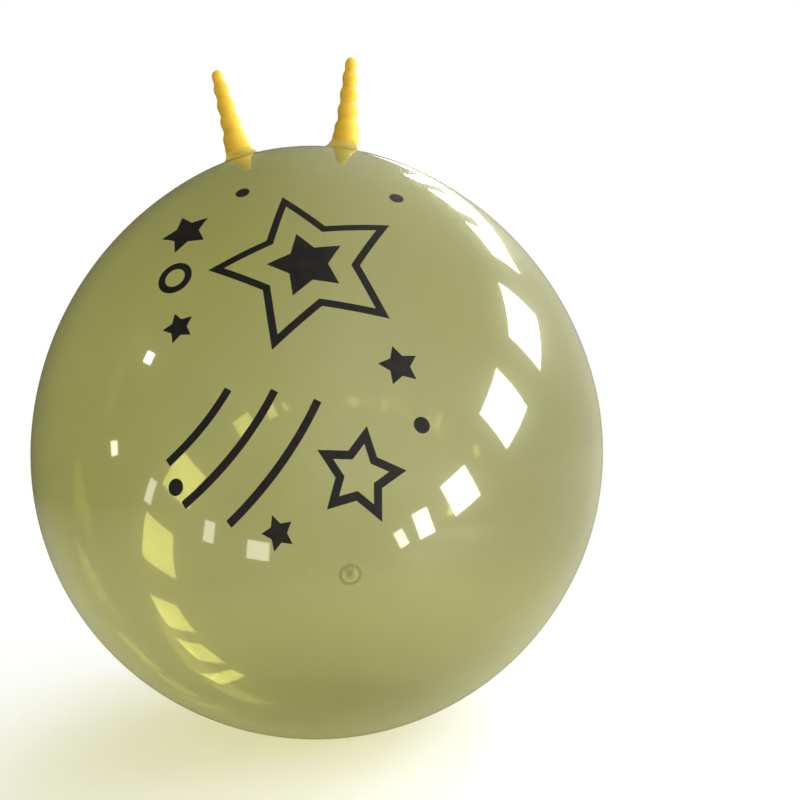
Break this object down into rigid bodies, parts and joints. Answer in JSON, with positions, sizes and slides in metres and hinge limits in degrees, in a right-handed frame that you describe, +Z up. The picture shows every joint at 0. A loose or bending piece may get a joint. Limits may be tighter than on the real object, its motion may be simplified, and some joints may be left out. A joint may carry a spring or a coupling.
{
  "type": "hopper ball",
  "caption": "Inflated clear hopper ball with a raised crown, ringed grip horns, a printed front and a plugged air valve, for a child to sit on, hold and bounce.",
  "frame": {"origin": "centre of the flat that the resting ball presses on the floor", "axes": "+Z up through the crown, -Y towards the printed front, +X to the right of someone who looks at the front"},
  "size_m": [0.6497, 0.6496, 0.7703],
  "materials": {
    "clear_pvc": "clear yellow soft PVC, glossy and see-through",
    "black_ink": "screen-printed black ink",
    "amber_pvc": "opaque amber soft PVC, satin",
    "valve_pvc": "thick cloudy yellow PVC",
    "plug_plastic": "milky white polyethylene"
  },
  "bodies": {
    "ball": {"ball_skin": "clear_pvc", "front_print": "black_ink", "valve_seat": "valve_pvc"},
    "left_horn": {"left_horn": "amber_pvc"},
    "right_horn": {"right_horn": "amber_pvc"},
    "valve_plug": {"valve_plug": "plug_plastic"}
  },
  "joints": [
    {"name": "left_horn_flex", "type": "hinge", "parent": "ball", "child": "left_horn", "pos_m": [-0.0638, 0, 0.68845], "axis": [0.9854, 0, 0.1702], "range_deg": [-25, 25], "stiffness_Nm_per_rad": 4},
    {"name": "right_horn_flex", "type": "hinge", "parent": "ball", "child": "right_horn", "pos_m": [0.0638, 0, 0.68845], "axis": [0.9854, 0, -0.1702], "range_deg": [-25, 25], "stiffness_Nm_per_rad": 4},
    {"name": "valve_plug_pull", "type": "slide", "parent": "ball", "child": "valve_plug", "axis": [0, 0.7431, -0.6691], "range_m": [0, 0.03]}
  ]
}
